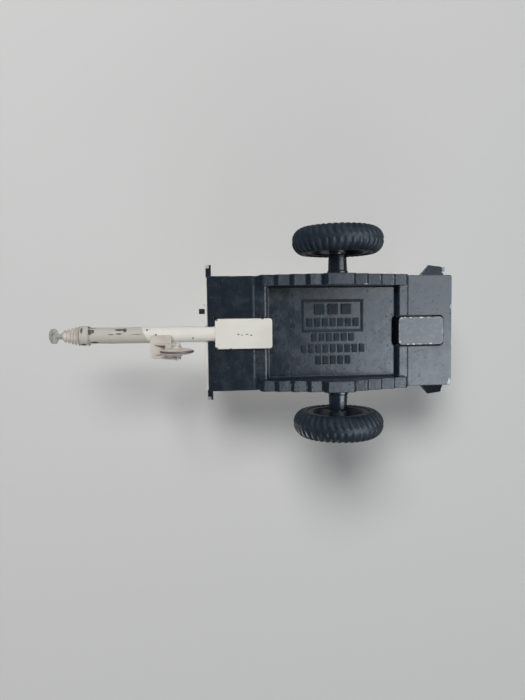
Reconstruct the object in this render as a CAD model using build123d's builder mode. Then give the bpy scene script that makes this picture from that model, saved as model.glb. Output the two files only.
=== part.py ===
from build123d import *
import os
from math import cos, radians, sin

# Die-cast single-axle road tank trailer, about 1:50, in millimetres.
# X runs forward to the tow eye, Y to the trailer's left, Z up. The wheels stand on Z = 0.
# Lengths called "station" are measured along X from the axle, forward positive.

os.makedirs("parts", exist_ok=True)

# ---------------------------------------------------------------- driving dimensions
FRONT_TIP = 52.54            # station of the front of the tow eye
REAR_TIP = -23.65            # station of the back of the pan
AXLE_X = -(FRONT_TIP + REAR_TIP) / 2
WHEEL_RADIUS = 8.25
WHEEL_Y = 16.47              # half the track
TYRE_WIDTH = 4.52
FLANK_RADIUS = 6.61          # where the tyre is widest
SHOULDER_RADIUS = 7.67
SHOULDER_IN = 0.75           # the shoulder is this far in from the widest place
BEAD_RADIUS = 5.75
DISH_RADIUS = 4.55
HUB_RADIUS = 1.9
PIN_RADIUS = 0.8
PIN_END_Y = 18.35
PIN_HEAD_RADIUS = 1.35
PIN_HEAD_HEIGHT = 0.38
RUNNING_GAP = 0.05           # radial clearance of every turning or sliding fit
SEAT_GAP = 0.01              # radial clearance of a fixed pin in its hole

# belly pan, a shallow casting that is open upwards
PAN_FRONT = 23.5
PAN_REAR = REAR_TIP
PAN_WIDTH = 21.35
PAN_CORNER = 0.5
BELLY_Z = 12.45
PAN_FLOOR_TOP = 14.85
PAN_RIM_Z = 16.2
PAN_WALL = 1.25
CENTRE_LENGTH = 29.8         # middle of the belly, set back a little
CENTRE_STEP = 0.12
RECESS_FRONT = 12.55
RECESS_REAR = -13.08
RECESS_WIDTH = 18.0
RECESS_CORNER = 0.6
RECESS_RIM_ROUND = 0.42
RECESS_FLOOR_Z = 13.65
RECESS_DRAFT = 27

# raised blank frame and bars on the recess floor
EMBOSS = 0.35
EMBOSS_STATION = -0.43
EMBOSS_FRAME = (11.9, 6.1)
EMBOSS_FRAME_Y = 3.1
EMBOSS_LINE = 0.4
BAR_ROWS = (                 # (centre y, bar length, bar height, count, pitch)
    (4.35, 1.9, 1.9, 3, 2.6),
    (1.85, 1.05, 1.5, 7, 1.5),
    (-1.0, 1.0, 1.35, 6, 1.45),
    (-3.15, 0.95, 1.5, 9, 1.42),
    (-5.35, 1.0, 1.5, 5, 1.45),
)

# leaf springs cast on the pan: (half length, underside at the leaf's inner end)
LEAVES = ((14.1, 10.35), (11.45, 9.6), (8.65, 8.8), (5.8, 7.95))
LEAF_END = 0.6               # bevel at each leaf's end
LEAF_DIP = 0.08              # each leaf dips this much towards its end
SPRING_BOSS = (2.92, 6.43)
SPRING_STATION = -0.16       # middle of the springs
SPRING_INNER_Y = 8.72
SPRING_WIDTH = 2.0

# stub axles between the springs and the wheels
STUB_SEAT_RADIUS = 1.45        # the part held in the spring's boss
STUB_ROOT_RADIUS = 1.72
STUB_TIP_RADIUS = 1.6
STUB_END_Y = 14.1
STUB_COLLAR_RADIUS = 1.88

# ears at the rear corners: outline in plan, as (station, distance out)
EAR_OUTLINE = ((-17.95, 10.2), (-20.4, 12.85), (-22.95, 12.5), (-22.95, 10.2))
EAR_ROOT_Z = 14.4
EAR_EDGE = (12.9, 15.75)     # distance out and underside at the ear's outer edge
TAIL_LAMP_LENGTH = 0.6
TAIL_LAMP_WIDTH = 0.9
TAIL_LAMP_Y = 11.95
TAIL_LAMP_Z = 15.3

# drawbar: a tongue in a window of the belly, and a round tube
TONGUE_FRONT = 22.15
TONGUE_REAR = 11.55
TONGUE_WIDTH = 5.6
TONGUE_CORNER = 0.45
TONGUE_FACE_Z = 11.6
TUBE_Z = 13.35
TUBE_RADIUS = 1.48
SADDLE_GAP = 0.05            # round the tube where the pan and the apron let it through
COLLAR_REAR = 44.7
COLLAR_FRONT = 46.4
COLLAR_RADIUS = 1.85
FLANGE_HEIGHT = 0.9          # inside edge that holds the tongue and the lug
FLANGE_SIDE = 1.35           # and this much wider on either side
WINDOW_GAP = 0.15

# rear fixing lug, the same idea at the back of the belly
LUG_FRONT = -12.85
LUG_REAR = -21.85
LUG_WIDTH = 5.4
LUG_SIDE_GAP = 0.27
LUG_FRONT_GAP = 0.72
LUG_CORNER = 0.8
LUG_FACE_Z = 11.9

# gaiter and tow eye
GAITER_END = 49.5
GAITER_RIBS = 5
SHANK_RADIUS = 0.65
EYE_RADIUS = 1.4
EYE_HOLE_RADIUS = 0.62
EYE_THICKNESS = 0.55
EYE_TILT = 45                # the eye rises forward out of the level
EYE_STATION = 51.43
EYE_Z = 14.25

# tank
TANK_FRONT = 22.6
TANK_REAR = -22.9
TANK_WIDTH = 21.6
TANK_TOP_Z = 33.2
TANK_CORNER = 5.0
TANK_WALL = 1.2
BAND_STATIONS = (-11.5, 11.5)
BAND_WIDTH = 1.1
BAND_PROUD = 0.25
BAND_BOTTOM_GAP = 0.4
OUTLET_Z = 18.8

# roof
ROOF_TOP_Z = 35.0
RAIL_Y = 5.3
RAIL_LENGTH = 33.0
RAIL_WIDTH = 0.9
MANHOLE_STATION = -0.5
MANHOLE_RADIUS = 3.6
COLLAR_WALL = 0.8
MANHOLE_TOP_Z = 33.9
LID_RADIUS = 3.4
LID_TOP_Z = 34.45
HINGE_OFFSET = 4.3           # hinge pin ahead of the manhole's centre
HINGE_Z = 34.25
HINGE_PIN_RADIUS = 0.28
KNUCKLE_RADIUS = 0.5
KNUCKLE_WIDTH = 1.4
VENT_STATION = -9.0

# front end
BAR_REAR = 22.6
BAR_FRONT = 23.65
BAR_HALF_WIDTH = 13.3
BAR_BOTTOM_Z = 19.0
BAR_TOP_Z = 20.6
APRON_FRONT = 23.95
APRON_HALF_WIDTH = 10.4
APRON_BOTTOM_Z = 12.75
LAMP_SIZE = 0.65
DRAIN_Y = 4.23
DRAIN_Z = 15.5
DRAIN_RADIUS = 0.5
DRAIN_LENGTH = 1.1
RIVET_Y = 5.55
RIVET_RADIUS = 0.3
RIVET_HEIGHT = 0.22

# jockey wheel
LEG_STATION = 31.9
LEG_Y = -2.45
LEG_RADIUS = 0.8
LEG_TOP_Z = 18.6
BRACKET_STATIONS = (30.0, 33.75)
BRACKET_SIDE_Y = -4.1
BRACKET_BOTTOM_Z = 9.5
BRACKET_TOP_Z = 14.6
SPIGOT_RADIUS = 0.45         # foot of the leg that the fork turns on
SPIGOT_HEAD_RADIUS = 0.65
CRANK_LENGTH = 2.6
JOCKEY_RADIUS = 2.8
JOCKEY_STATION = 28.7
JOCKEY_TYRE_WIDTH = 0.3
TYRE_SEAT_RADIUS = 2.2
CHEEK_RADIUS = 2.6
CHEEK_HALF_WIDTH = 0.58
JOCKEY_HUB_RADIUS = 0.7
JOCKEY_HUB_HALF_WIDTH = 0.9
FORK_INNER = 1.0
FORK_PLATE = 0.3
CROWN_LENGTH = 2.2
CROWN_BOTTOM_Z = 5.1
CROWN_TOP_Z = 6.0
JOCKEY_PIN_RADIUS = 0.3

SIDES = (("left", 1), ("right", -1))


def place(station, y=0.0, z=0.0):
    """A point given by its station along the trailer."""
    return (AXLE_X + station, y, z)


def cross_plane(station, y=0.0, z=0.0):
    """A sketch plane across the trailer, normal forward, whose x is Y and whose y is Z."""
    return Plane(origin=place(station, y, z), x_dir=(0, 1, 0), z_dir=(1, 0, 0))


def side_plane(y, station=0.0, z=0.0):
    """A sketch plane along the trailer, normal to the right, whose x is X and whose y is Z."""
    return Plane(origin=place(station, y, z), x_dir=(1, 0, 0), z_dir=(0, -1, 0))


def level_plane(z, station=0.0, y=0.0):
    """A level sketch plane whose origin lies at a station."""
    return Plane(origin=place(station, y, z))


# ---------------------------------------------------------------- belly pan
pan_length = PAN_FRONT - PAN_REAR
pan_middle = (PAN_FRONT + PAN_REAR) / 2
tongue_middle = (TONGUE_FRONT + TONGUE_REAR) / 2
lug_middle = (LUG_FRONT + LUG_REAR) / 2
lug_window_front = LUG_FRONT + LUG_FRONT_GAP
lug_window_rear = LUG_REAR - WINDOW_GAP

# half of a spring's side view, from the belly down to the boss
spring_outline = [(0, BELLY_Z + 0.4), (LEAVES[0][0], BELLY_Z + 0.4)]
for half_length, underside in LEAVES + (SPRING_BOSS,):
    dip = LEAF_DIP if underside != SPRING_BOSS[1] else 0
    spring_outline.append((half_length, underside - dip + LEAF_END))
    spring_outline.append((half_length - LEAF_END, underside - dip))
    inner = [length for length, _ in LEAVES + (SPRING_BOSS,) if length < half_length]
    spring_outline.append((inner[0] if inner else 0, underside))

with BuildPart() as belly_pan:
    with BuildSketch(level_plane(BELLY_Z, pan_middle)):
        RectangleRounded(pan_length, PAN_WIDTH, PAN_CORNER)
    extrude(amount=PAN_RIM_Z - BELLY_Z)
    # room inside, above the floor
    with BuildSketch(level_plane(PAN_FLOOR_TOP, pan_middle)):
        RectangleRounded(pan_length - 2 * PAN_WALL, PAN_WIDTH - 2 * PAN_WALL, 1)
    extrude(amount=PAN_RIM_Z - PAN_FLOOR_TOP, mode=Mode.SUBTRACT)
    # the middle of the belly is set back, with a deeper drafted recess in it
    with BuildSketch(level_plane(BELLY_Z)):
        Rectangle(CENTRE_LENGTH, PAN_WIDTH)
    extrude(amount=CENTRE_STEP, mode=Mode.SUBTRACT)
    with BuildSketch(level_plane(BELLY_Z + CENTRE_STEP, (RECESS_FRONT + RECESS_REAR) / 2)):
        RectangleRounded(RECESS_FRONT - RECESS_REAR, RECESS_WIDTH, RECESS_CORNER)
    extrude(amount=RECESS_FLOOR_Z - BELLY_Z - CENTRE_STEP, taper=RECESS_DRAFT, mode=Mode.SUBTRACT)
    fillet(belly_pan.edges(Select.LAST).group_by(Axis.Z)[0], RECESS_RIM_ROUND)
    # leaf springs, left and right
    for _, side in SIDES:
        with BuildSketch(side_plane(side * SPRING_INNER_Y, SPRING_STATION)):
            with BuildLine():
                Polyline(*spring_outline, close=True)
            make_face()
            mirror(about=Plane.YZ)
        extrude(amount=-side * SPRING_WIDTH)
    # the stub axles pass through both spring bosses
    with BuildSketch(side_plane(PAN_WIDTH, z=WHEEL_RADIUS)):
        Circle(STUB_SEAT_RADIUS + 2 * SEAT_GAP)
    extrude(amount=2 * PAN_WIDTH, mode=Mode.SUBTRACT)
    # ears at the rear that carry the tail lamps, sloping up outwards
    for _, side in SIDES:
        with BuildSketch(level_plane(EAR_ROOT_Z)):
            with BuildLine():
                Polyline(*[(station, side * y) for station, y in EAR_OUTLINE], close=True)
            make_face()
        extrude(amount=PAN_RIM_Z - EAR_ROOT_Z)
        with BuildSketch(cross_plane(EAR_OUTLINE[0][0])):
            with BuildLine():
                Polyline(
                    (side * PAN_WIDTH / 2, EAR_ROOT_Z),
                    (side * EAR_EDGE[0], EAR_ROOT_Z),
                    (side * EAR_EDGE[0], EAR_EDGE[1]),
                    close=True,
                )
            make_face()
        extrude(amount=EAR_OUTLINE[-1][0] - EAR_OUTLINE[0][0], mode=Mode.SUBTRACT)
    # windows for the drawbar's tongue and for the rear lug
    with BuildSketch(level_plane(BELLY_Z, tongue_middle)):
        Rectangle(TONGUE_FRONT - TONGUE_REAR + 2 * WINDOW_GAP, TONGUE_WIDTH + 2 * WINDOW_GAP)
    with BuildSketch(level_plane(BELLY_Z, (lug_window_front + lug_window_rear) / 2)):
        RectangleRounded(lug_window_front - lug_window_rear, LUG_WIDTH + 2 * LUG_SIDE_GAP, LUG_CORNER)
    extrude(amount=PAN_FLOOR_TOP - BELLY_Z, mode=Mode.SUBTRACT)
    # saddle for the drawbar's tube in the front wall
    with BuildSketch(cross_plane(TONGUE_FRONT)):
        with Locations((0, TUBE_Z)):
            Circle(TUBE_RADIUS + SADDLE_GAP)
        with Locations((0, TUBE_Z - 1)):
            Rectangle(2 * (TUBE_RADIUS + SADDLE_GAP), 2)
    extrude(amount=PAN_FRONT - TONGUE_FRONT, mode=Mode.SUBTRACT)
    # raised frame and blank bars on the recess floor
    with BuildSketch(level_plane(RECESS_FLOOR_Z, EMBOSS_STATION)):
        with Locations((0, EMBOSS_FRAME_Y)):
            Rectangle(*EMBOSS_FRAME)
            Rectangle(*[size - 2 * EMBOSS_LINE for size in EMBOSS_FRAME], mode=Mode.SUBTRACT)
        for row_y, bar_length, bar_height, count, pitch in BAR_ROWS:
            with Locations((0, row_y)):
                with GridLocations(pitch, 1, count, 1):
                    Rectangle(bar_length, bar_height)
    extrude(amount=-EMBOSS)
belly_pan.part.label = "belly_pan"
export_step(belly_pan.part, "parts/belly_pan.step")

# ---------------------------------------------------------------- axle and road wheels
stub_collar_y = SPRING_INNER_Y + SPRING_WIDTH
pin_root_y = SPRING_INNER_Y + 0.6

for name, side in SIDES:
    wheel_axis = Axis(place(0, 0, WHEEL_RADIUS), (0, 1, 0))

    with BuildPart() as axle_stub:
        with BuildSketch(cross_plane(0, z=WHEEL_RADIUS)):
            with BuildLine():
                Polyline(
                    (side * SPRING_INNER_Y, 0),
                    (side * SPRING_INNER_Y, STUB_SEAT_RADIUS),
                    (side * stub_collar_y, STUB_SEAT_RADIUS),
                    (side * stub_collar_y, STUB_COLLAR_RADIUS),
                    (side * (stub_collar_y + 0.35), STUB_COLLAR_RADIUS),
                    (side * (stub_collar_y + 0.5), STUB_ROOT_RADIUS),
                    (side * STUB_END_Y, STUB_TIP_RADIUS),
                    (side * STUB_END_Y, PIN_RADIUS + SEAT_GAP),
                    (side * pin_root_y, PIN_RADIUS + SEAT_GAP),
                    (side * pin_root_y, 0),
                    close=True,
                )
            make_face()
        revolve(axis=wheel_axis)
    axle_stub.part.label = f"axle_stub_{name}"
    export_step(axle_stub.part, f"parts/axle_stub_{name}.step")

    # steel pin that the wheel turns on, with a riveted head outside
    with BuildPart() as wheel_pin:
        with BuildSketch(cross_plane(0, z=WHEEL_RADIUS)):
            with BuildLine():
                Polyline(
                    (side * pin_root_y, 0),
                    (side * pin_root_y, PIN_RADIUS),
                    (side * PIN_END_Y, PIN_RADIUS),
                    (side * PIN_END_Y, PIN_HEAD_RADIUS),
                    (side * (PIN_END_Y + PIN_HEAD_HEIGHT / 2), PIN_HEAD_RADIUS - 0.2),
                    (side * (PIN_END_Y + PIN_HEAD_HEIGHT), PIN_HEAD_RADIUS - 0.75),
                    (side * (PIN_END_Y + PIN_HEAD_HEIGHT), 0),
                    close=True,
                )
            make_face()
        revolve(axis=wheel_axis)
    wheel_pin.part.label = f"wheel_pin_{name}"
    export_step(wheel_pin.part, f"parts/wheel_pin_{name}.step")

tyre_inner_y = WHEEL_Y - TYRE_WIDTH / 2
tyre_outer_y = WHEEL_Y + TYRE_WIDTH / 2

for name, side in SIDES:
    wheel_axis = Axis(place(0, 0, WHEEL_RADIUS), (0, 1, 0))

    with BuildPart() as rim:
        with BuildSketch(cross_plane(0, z=WHEEL_RADIUS)):
            with BuildLine():
                Polyline(
                    (side * (tyre_inner_y + 0.09), PIN_RADIUS + RUNNING_GAP),
                    (side * (tyre_inner_y + 0.09), 1.45),
                    (side * (WHEEL_Y + 0.1), HUB_RADIUS),
                    (side * (WHEEL_Y + 0.3), 4.0),
                    (side * (tyre_inner_y + 0.5), DISH_RADIUS),
                    (side * (tyre_inner_y + 0.2), DISH_RADIUS + 0.25),
                    (side * (tyre_inner_y + 0.2), BEAD_RADIUS - 0.15),
                    (side * (tyre_inner_y + 0.4), BEAD_RADIUS),
                    (side * (tyre_outer_y - 0.4), BEAD_RADIUS),
                    (side * (tyre_outer_y - 0.2), BEAD_RADIUS - 0.15),
                    (side * (tyre_outer_y - 0.2), DISH_RADIUS + 0.35),
                    (side * (tyre_outer_y - 0.6), DISH_RADIUS),
                    (side * (WHEEL_Y + 1.1), 4.1),
                    (side * (WHEEL_Y + 1.0), HUB_RADIUS + 0.3),
                    (side * (WHEEL_Y + 1.75), HUB_RADIUS),
                    (side * (WHEEL_Y + 1.75), PIN_RADIUS + RUNNING_GAP),
                    close=True,
                )
            make_face()
        revolve(axis=wheel_axis)
    rim.part.label = f"rim_{name}"
    export_step(rim.part, f"parts/rim_{name}.step")

    with BuildPart() as tyre:
        with BuildSketch(cross_plane(0, z=WHEEL_RADIUS)):
            with BuildLine():
                inner_bead = (side * (tyre_inner_y + 0.4), BEAD_RADIUS)
                outer_bead = (side * (tyre_outer_y - 0.4), BEAD_RADIUS)
                inner_shoulder = (side * (tyre_inner_y + SHOULDER_IN), SHOULDER_RADIUS)
                outer_shoulder = (side * (tyre_outer_y - SHOULDER_IN), SHOULDER_RADIUS)
                ThreePointArc(inner_bead, (side * tyre_inner_y, FLANK_RADIUS), inner_shoulder)
                ThreePointArc(inner_shoulder, (side * WHEEL_Y, WHEEL_RADIUS), outer_shoulder)
                ThreePointArc(outer_shoulder, (side * tyre_outer_y, FLANK_RADIUS), outer_bead)
                Line(outer_bead, inner_bead)
            make_face()
        revolve(axis=wheel_axis)
    tyre.part.label = f"tyre_{name}"
    export_step(tyre.part, f"parts/tyre_{name}.step")

# ---------------------------------------------------------------- drawbar
tongue_length = TONGUE_FRONT - TONGUE_REAR

with BuildPart() as drawbar:
    with BuildSketch(level_plane(TONGUE_FACE_Z, tongue_middle)):
        RectangleRounded(tongue_length, TONGUE_WIDTH, TONGUE_CORNER)
    extrude(amount=PAN_FLOOR_TOP - TONGUE_FACE_Z)
    # flange inside the pan that stops the tongue falling through its window
    with BuildSketch(level_plane(PAN_FLOOR_TOP, tongue_middle)):
        Rectangle(tongue_length - 2, TONGUE_WIDTH + 2 * FLANGE_SIDE)
    extrude(amount=FLANGE_HEIGHT)
    with BuildSketch(cross_plane(TONGUE_FRONT - 1, z=TUBE_Z)):
        Circle(TUBE_RADIUS)
    extrude(amount=COLLAR_REAR - TONGUE_FRONT + 1)
    with BuildSketch(cross_plane(COLLAR_REAR, z=TUBE_Z)):
        Circle(COLLAR_RADIUS)
    collar = extrude(amount=COLLAR_FRONT - COLLAR_REAR)
    chamfer(collar.edges().filter_by(GeomType.CIRCLE).sort_by(Axis.X)[0], 0.3)
    face_edges = drawbar.faces().sort_by(Axis.Z)[0].edges()
    fillet(face_edges, 0.12)
drawbar.part.label = "drawbar"
export_step(drawbar.part, "parts/drawbar.step")

# rear fixing lug of the tank casting, worn flat where the model has been set down
with BuildPart() as rear_lug:
    with BuildSketch(level_plane(LUG_FACE_Z, lug_middle)):
        RectangleRounded(LUG_FRONT - LUG_REAR, LUG_WIDTH, LUG_CORNER)
    extrude(amount=PAN_FLOOR_TOP - LUG_FACE_Z)
    fillet(rear_lug.faces().sort_by(Axis.Z)[0].edges(), 0.15)
    with BuildSketch(level_plane(PAN_FLOOR_TOP, lug_middle)):
        Rectangle(LUG_FRONT - LUG_REAR - 1, LUG_WIDTH + 2 * FLANGE_SIDE)
    extrude(amount=FLANGE_HEIGHT)
rear_lug.part.label = "rear_lug"
export_step(rear_lug.part, "parts/rear_lug.step")

# ribbed rubber gaiter between the drawbar's collar and the tow eye
rib_pitch = (GAITER_END - COLLAR_FRONT) / GAITER_RIBS
gaiter_outline = [(COLLAR_FRONT, SHANK_RADIUS + 0.02), (COLLAR_FRONT, 1.5)]
for rib in range(GAITER_RIBS):
    peak_radius = 1.78 - 0.16 * rib
    gaiter_outline.append((COLLAR_FRONT + (rib + 0.4) * rib_pitch, peak_radius))
    gaiter_outline.append((COLLAR_FRONT + (rib + 1) * rib_pitch, peak_radius - 0.3))
gaiter_outline.append((GAITER_END, SHANK_RADIUS + 0.02))

with BuildPart() as gaiter:
    with BuildSketch(side_plane(0, z=TUBE_Z)):
        with BuildLine():
            Polyline(*gaiter_outline, close=True)
        make_face()
    revolve(axis=Axis(place(0, 0, TUBE_Z), (1, 0, 0)))
gaiter.part.label = "gaiter"
export_step(gaiter.part, "parts/gaiter.step")

# tow eye: a shank through the gaiter, and a ring that rises forward
eye_along = Vector(cos(radians(EYE_TILT)), 0, sin(radians(EYE_TILT)))
eye_normal = Vector(-sin(radians(EYE_TILT)), 0, cos(radians(EYE_TILT)))
eye_centre = Vector(*place(EYE_STATION, 0, EYE_Z))
neck_start = Vector(*place(GAITER_END - 0.1, 0, TUBE_Z))
neck_end = eye_centre - eye_along * (EYE_RADIUS - 0.4)

with BuildPart() as tow_eye:
    with BuildSketch(Plane(origin=eye_centre, x_dir=eye_along, z_dir=eye_normal)):
        Circle(EYE_RADIUS)
    extrude(amount=EYE_THICKNESS / 2, both=True)
    fillet(tow_eye.edges().filter_by(GeomType.CIRCLE), 0.18)
    with BuildSketch(cross_plane(COLLAR_FRONT, z=TUBE_Z)):
        Circle(SHANK_RADIUS)
    extrude(amount=GAITER_END + 0.15 - COLLAR_FRONT)
    with BuildSketch(Plane(origin=neck_start, z_dir=neck_end - neck_start)):
        Circle(SHANK_RADIUS * 0.8)
    extrude(amount=(neck_end - neck_start).length)
    with BuildSketch(Plane(origin=eye_centre, x_dir=eye_along, z_dir=eye_normal)):
        Circle(EYE_HOLE_RADIUS)
    extrude(amount=EYE_THICKNESS, both=True, mode=Mode.SUBTRACT)
tow_eye.part.label = "tow_eye"
export_step(tow_eye.part, "parts/tow_eye.step")

# ---------------------------------------------------------------- jockey wheel
bracket_rear, bracket_front = BRACKET_STATIONS

with BuildPart() as jockey_bracket:
    with BuildSketch(level_plane(BRACKET_BOTTOM_Z)):
        with Locations(((bracket_rear + bracket_front) / 2, (BRACKET_SIDE_Y - 0.05) / 2)):
            Rectangle(bracket_front - bracket_rear, -BRACKET_SIDE_Y - 0.05)
    extrude(amount=BRACKET_TOP_Z - BRACKET_BOTTOM_Z)
    chamfer(jockey_bracket.edges().filter_by(Axis.Z), 0.2)
    # saddle for the tube, and the bore that the leg slides in
    with BuildSketch(cross_plane(bracket_rear - 1, z=TUBE_Z)):
        Circle(TUBE_RADIUS + 2 * SEAT_GAP)
    extrude(amount=bracket_front - bracket_rear + 2, mode=Mode.SUBTRACT)
    with BuildSketch(level_plane(BRACKET_BOTTOM_Z, LEG_STATION, LEG_Y)):
        Circle(LEG_RADIUS + RUNNING_GAP)
    extrude(amount=BRACKET_TOP_Z - BRACKET_BOTTOM_Z, mode=Mode.SUBTRACT)
jockey_bracket.part.label = "jockey_bracket"
export_step(jockey_bracket.part, "parts/jockey_bracket.step")

# leg with a spigot and a riveted head for the fork, and a hand crank on top
with BuildPart() as jockey_leg:
    with BuildSketch(side_plane(LEG_Y, LEG_STATION)):
        with BuildLine():
            Polyline(
                (0, CROWN_BOTTOM_Z - 0.3),
                (SPIGOT_HEAD_RADIUS, CROWN_BOTTOM_Z - 0.3),
                (SPIGOT_HEAD_RADIUS, CROWN_BOTTOM_Z - RUNNING_GAP),
                (SPIGOT_RADIUS, CROWN_BOTTOM_Z - RUNNING_GAP),
                (SPIGOT_RADIUS, CROWN_TOP_Z + RUNNING_GAP),
                (LEG_RADIUS, CROWN_TOP_Z + RUNNING_GAP),
                (LEG_RADIUS, LEG_TOP_Z - 0.9),
                (1.0, LEG_TOP_Z - 0.9),
                (1.0, LEG_TOP_Z),
                (0, LEG_TOP_Z),
                close=True,
            )
        make_face()
    revolve(axis=Axis(place(LEG_STATION, LEG_Y), (0, 0, 1)))
    with BuildSketch(cross_plane(LEG_STATION - CRANK_LENGTH, LEG_Y, LEG_TOP_Z - 0.45)):
        RectangleRounded(0.55, 0.55, 0.12)
    extrude(amount=CRANK_LENGTH)
    with BuildSketch(level_plane(LEG_TOP_Z - 0.6, LEG_STATION - CRANK_LENGTH + 0.2, LEG_Y)):
        Circle(0.35)
    extrude(amount=1.9)
jockey_leg.part.label = "jockey_leg"
export_step(jockey_leg.part, "parts/jockey_leg.step")

crown_rear = LEG_STATION - CROWN_LENGTH / 2
crown_front = LEG_STATION + CROWN_LENGTH / 2

with BuildPart() as jockey_fork:
    with BuildSketch(level_plane(CROWN_BOTTOM_Z, LEG_STATION, LEG_Y)):
        RectangleRounded(crown_front - crown_rear, 2 * (FORK_INNER + FORK_PLATE), 0.25)
    extrude(amount=CROWN_TOP_Z - CROWN_BOTTOM_Z)
    for _, side in SIDES:
        with BuildSketch(side_plane(LEG_Y + side * FORK_INNER)):
            with BuildLine():
                Polyline(
                    (crown_front - 0.3, CROWN_TOP_Z),
                    (crown_front - 0.3, CROWN_BOTTOM_Z),
                    (JOCKEY_STATION + 0.35, JOCKEY_RADIUS - 0.55),
                    (JOCKEY_STATION - 0.45, JOCKEY_RADIUS + 0.45),
                    (crown_rear + 0.2, CROWN_TOP_Z),
                    close=True,
                )
            make_face()
            with Locations((JOCKEY_STATION, JOCKEY_RADIUS)):
                Circle(0.65)
        extrude(amount=-side * FORK_PLATE)
    with BuildSketch(side_plane(LEG_Y + 3, JOCKEY_STATION, JOCKEY_RADIUS)):
        Circle(JOCKEY_PIN_RADIUS)
    extrude(amount=6, mode=Mode.SUBTRACT)
    with BuildSketch(level_plane(CROWN_BOTTOM_Z, LEG_STATION, LEG_Y)):
        Circle(SPIGOT_RADIUS + RUNNING_GAP)
    extrude(amount=CROWN_TOP_Z - CROWN_BOTTOM_Z, mode=Mode.SUBTRACT)
jockey_fork.part.label = "jockey_fork"
export_step(jockey_fork.part, "parts/jockey_fork.step")

pin_half = FORK_INNER + FORK_PLATE + 0.12

with BuildPart() as jockey_pin:
    with BuildSketch(side_plane(LEG_Y + pin_half, JOCKEY_STATION, JOCKEY_RADIUS)):
        Circle(JOCKEY_PIN_RADIUS)
    extrude(amount=2 * pin_half)
jockey_pin.part.label = "jockey_pin"
export_step(jockey_pin.part, "parts/jockey_pin.step")

jockey_axis = Axis(place(JOCKEY_STATION, 0, JOCKEY_RADIUS), (0, 1, 0))
tyre_half = JOCKEY_TYRE_WIDTH / 2

with BuildPart() as jockey_disc:
    with BuildSketch(cross_plane(JOCKEY_STATION, LEG_Y, JOCKEY_RADIUS)):
        with BuildLine():
            bore = JOCKEY_PIN_RADIUS + RUNNING_GAP
            cheek_inner = (CHEEK_HALF_WIDTH, JOCKEY_HUB_RADIUS + 0.1)
            cheek_outer = (tyre_half + 0.08, CHEEK_RADIUS)
            Polyline(
                (0, TYRE_SEAT_RADIUS),
                (0, bore),
                (JOCKEY_HUB_HALF_WIDTH, bore),
                (JOCKEY_HUB_HALF_WIDTH, JOCKEY_HUB_RADIUS),
                cheek_inner,
            )
            ThreePointArc(cheek_inner, (0.8 * CHEEK_HALF_WIDTH, 1.75), cheek_outer)
            Polyline(
                cheek_outer,
                (tyre_half, CHEEK_RADIUS),
                (tyre_half, TYRE_SEAT_RADIUS),
                (0, TYRE_SEAT_RADIUS),
            )
        make_face()
        mirror(about=Plane.YZ)
    revolve(axis=jockey_axis)
jockey_disc.part.label = "jockey_disc"
export_step(jockey_disc.part, "parts/jockey_disc.step")

with BuildPart() as jockey_tyre:
    with BuildSketch(cross_plane(JOCKEY_STATION, LEG_Y, JOCKEY_RADIUS)):
        with Locations((0, (TYRE_SEAT_RADIUS + JOCKEY_RADIUS) / 2)):
            Rectangle(JOCKEY_TYRE_WIDTH, JOCKEY_RADIUS - TYRE_SEAT_RADIUS)
    revolve(axis=jockey_axis)
    fillet(jockey_tyre.edges().filter_by(GeomType.CIRCLE).group_by(SortBy.RADIUS)[-1], 0.08)
jockey_tyre.part.label = "jockey_tyre"
export_step(jockey_tyre.part, "parts/jockey_tyre.step")

# ---------------------------------------------------------------- front end
with BuildPart() as front_bar:
    with BuildSketch(level_plane(BAR_BOTTOM_Z)):
        with Locations(((BAR_REAR + BAR_FRONT) / 2, 0)):
            Rectangle(BAR_FRONT - BAR_REAR, 2 * BAR_HALF_WIDTH)
        for _, side in SIDES:
            with Locations((BAR_FRONT - LAMP_SIZE / 2, side * (BAR_HALF_WIDTH - LAMP_SIZE / 2))):
                Rectangle(LAMP_SIZE, LAMP_SIZE, mode=Mode.SUBTRACT)
    extrude(amount=BAR_TOP_Z - BAR_BOTTOM_Z)
front_bar.part.label = "front_bar"
export_step(front_bar.part, "parts/front_bar.step")

for name, side in SIDES:
    with BuildPart() as marker_lamp:
        with BuildSketch(level_plane(BAR_BOTTOM_Z)):
            with Locations((BAR_FRONT - LAMP_SIZE / 2, side * (BAR_HALF_WIDTH - LAMP_SIZE / 2))):
                Rectangle(LAMP_SIZE, LAMP_SIZE)
        extrude(amount=BAR_TOP_Z - BAR_BOTTOM_Z)
    marker_lamp.part.label = f"marker_lamp_{name}"
    export_step(marker_lamp.part, f"parts/marker_lamp_{name}.step")

    with BuildPart() as tail_lamp:
        tail_lamp_station = EAR_OUTLINE[-1][0] - TAIL_LAMP_LENGTH / 2
        with BuildSketch(level_plane(TAIL_LAMP_Z, tail_lamp_station, side * TAIL_LAMP_Y)):
            RectangleRounded(TAIL_LAMP_LENGTH, TAIL_LAMP_WIDTH, 0.15)
        extrude(amount=PAN_RIM_Z - TAIL_LAMP_Z)
    tail_lamp.part.label = f"tail_lamp_{name}"
    export_step(tail_lamp.part, f"parts/tail_lamp_{name}.step")

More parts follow.
